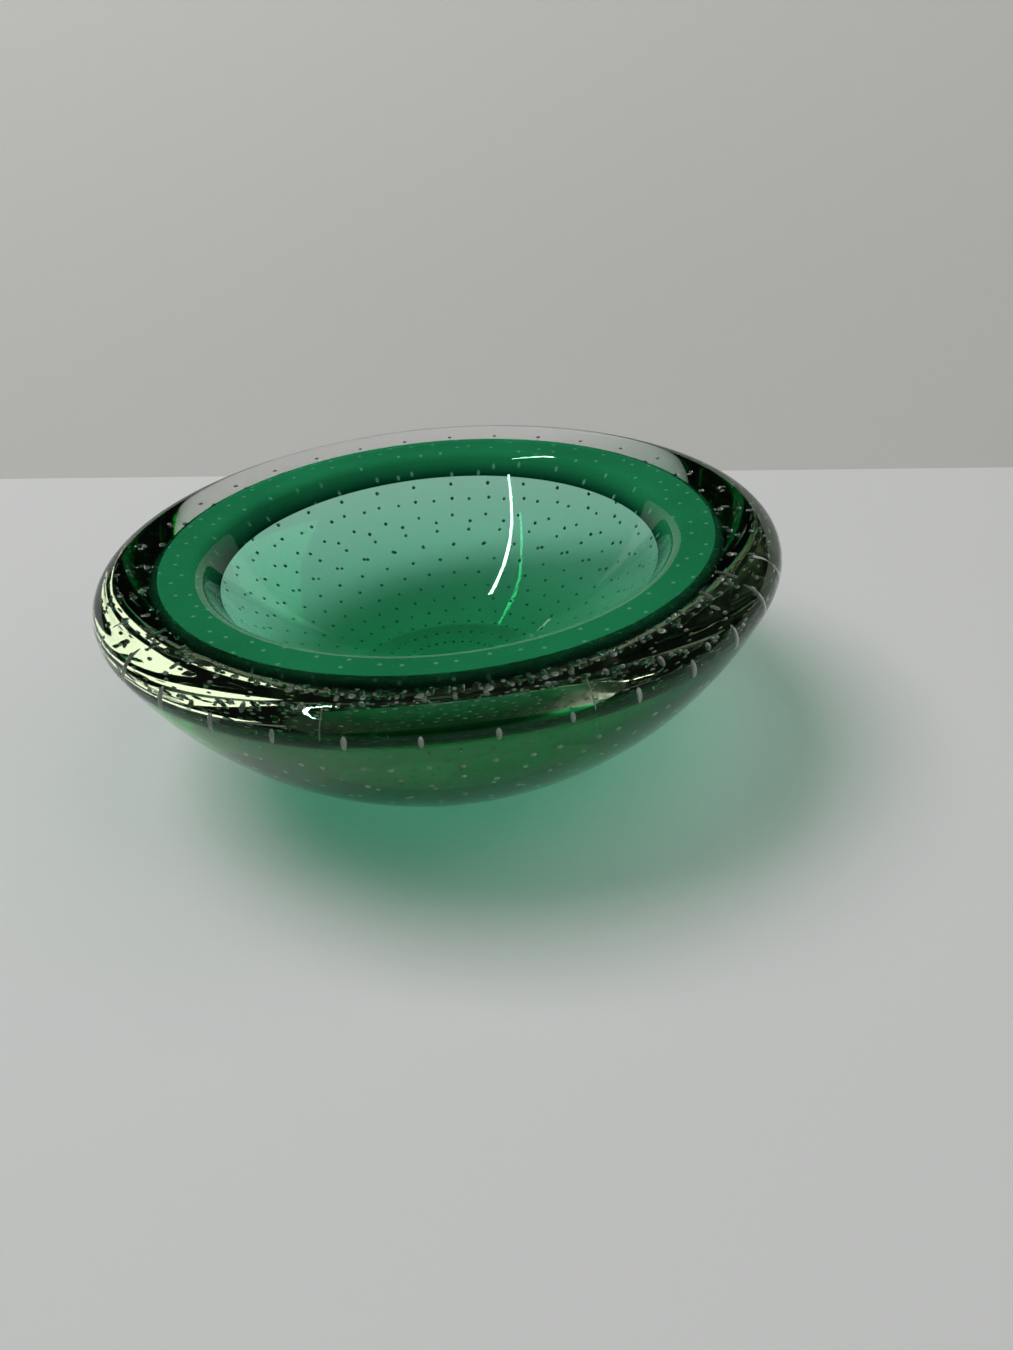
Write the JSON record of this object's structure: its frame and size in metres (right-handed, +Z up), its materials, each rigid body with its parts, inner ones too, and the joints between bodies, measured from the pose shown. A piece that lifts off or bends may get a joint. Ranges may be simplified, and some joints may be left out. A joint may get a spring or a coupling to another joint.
{
  "type": "cased glass bowl",
  "caption": "Low round bowl of thick cased glass: a green hollow cup under two clear gathers with rings of trapped air bubbles, wide rounded rim and flat ground foot.",
  "frame": {"origin": "centre of the flat ground foot, on the surface that the bowl stands on", "axes": "+Z up along the bowl's axis of turning, out of the open mouth; +X and +Y are any two level directions"},
  "size_m": [0.15, 0.15, 0.051],
  "materials": {
    "green_glass": "polished emerald-green glass",
    "clear_glass": "polished clear glass with a faint straw tint"
  },
  "bodies": {
    "root": {"green_cup": "green_glass", "inner_casing": "clear_glass", "outer_casing": "clear_glass"}
  },
  "joints": []
}
